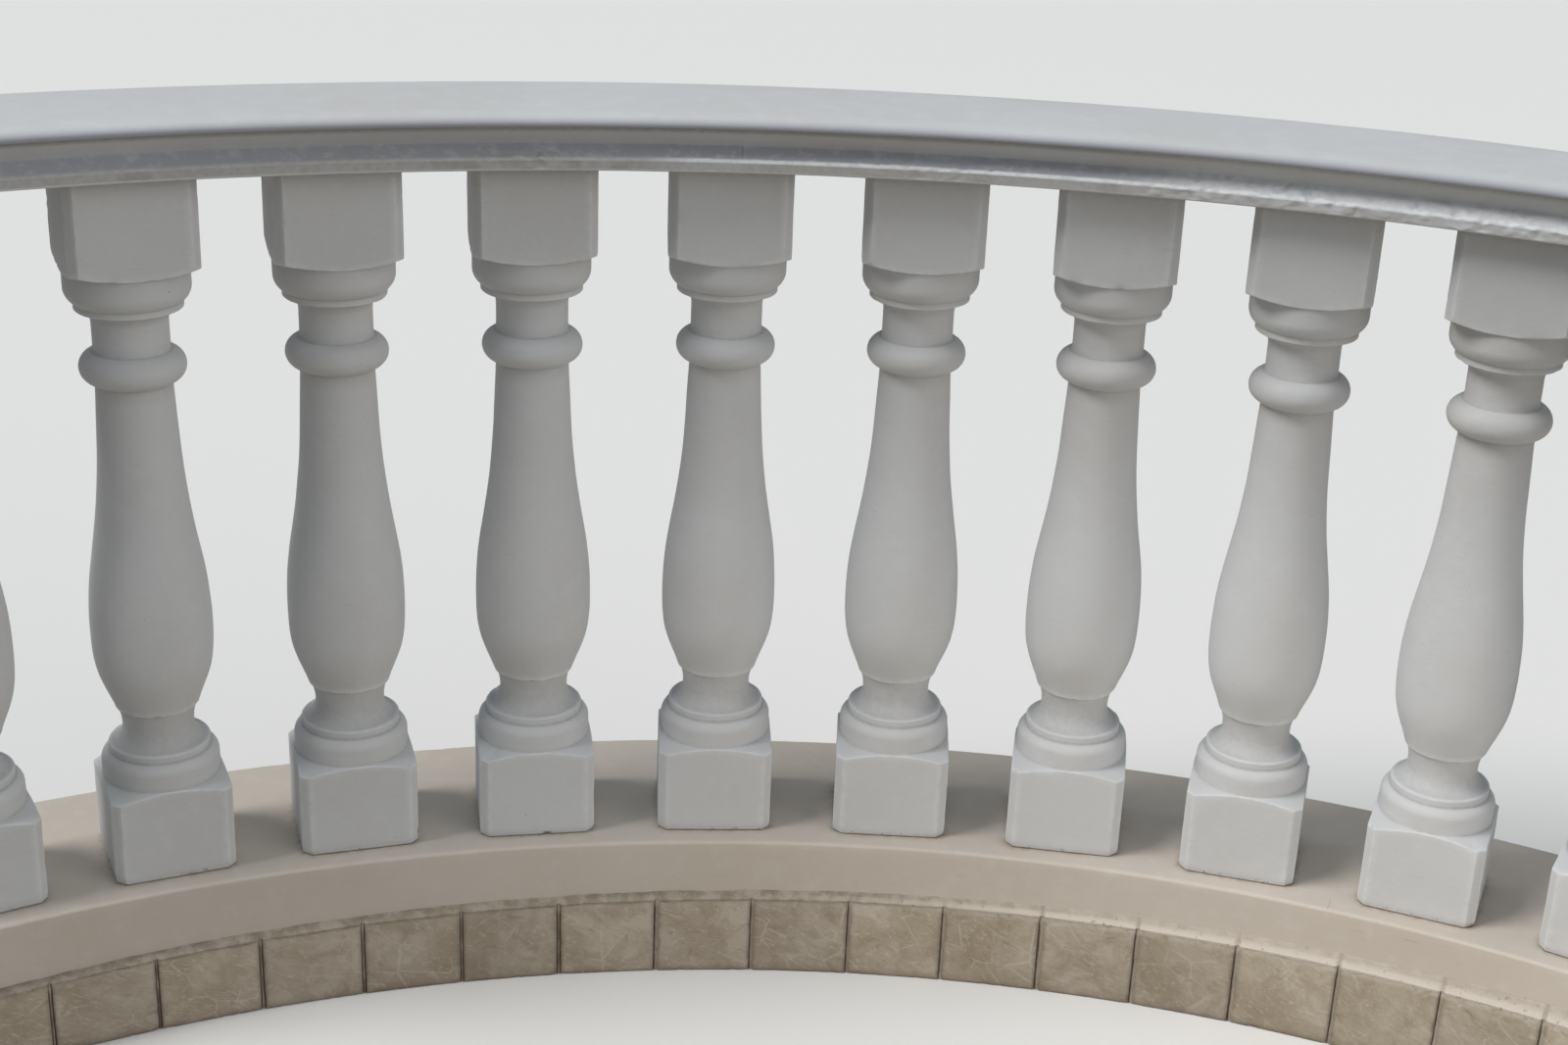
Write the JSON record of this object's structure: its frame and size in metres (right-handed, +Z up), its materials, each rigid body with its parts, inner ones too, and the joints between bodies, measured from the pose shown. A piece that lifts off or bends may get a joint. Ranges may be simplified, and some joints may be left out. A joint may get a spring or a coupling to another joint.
{
  "type": "stone balustrade",
  "caption": "Curved stone balustrade: turned vase-shaped balusters on a tiled masonry kerb, under a moulded handrail.",
  "frame": {"origin": "under the middle of the part, half way through its depth, on the plane that the kerb stands on", "axes": "+Z up; +X along the balustrade, to the right as seen from the inner side of the curve; +Y to the outer side of the curve"},
  "size_m": [2.2078, 0.5729, 1.0309],
  "materials": {
    "white_paint": "white masonry paint on cast stone, matte, with small pits",
    "kerb_paint": "cream masonry paint on smooth render, matte",
    "tile": "honed beige stone tile with dark grout",
    "mortar": "rough dirty mortar"
  },
  "bodies": {
    "root": {"kerb": "kerb_paint", "skirting": "tile", "skirting_bevel": "kerb_paint", "rail_left": "white_paint", "rail_right": "white_paint", "baluster_01": "white_paint", "baluster_02": "white_paint", "baluster_03": "white_paint", "baluster_04": "white_paint", "baluster_05": "white_paint", "baluster_06": "white_paint", "baluster_07": "white_paint", "baluster_08": "white_paint", "baluster_09": "white_paint", "baluster_10": "white_paint", "base_bed_01": "mortar", "base_bed_02": "mortar", "base_bed_03": "mortar", "base_bed_04": "mortar", "base_bed_05": "mortar", "base_bed_06": "mortar", "base_bed_07": "mortar", "base_bed_08": "mortar", "base_bed_09": "mortar", "base_bed_10": "mortar", "top_bed_01": "mortar", "top_bed_02": "mortar", "top_bed_03": "mortar", "top_bed_04": "mortar", "top_bed_05": "mortar", "top_bed_06": "mortar", "top_bed_07": "mortar", "top_bed_08": "mortar", "top_bed_09": "mortar", "top_bed_10": "mortar"}
  },
  "joints": []
}
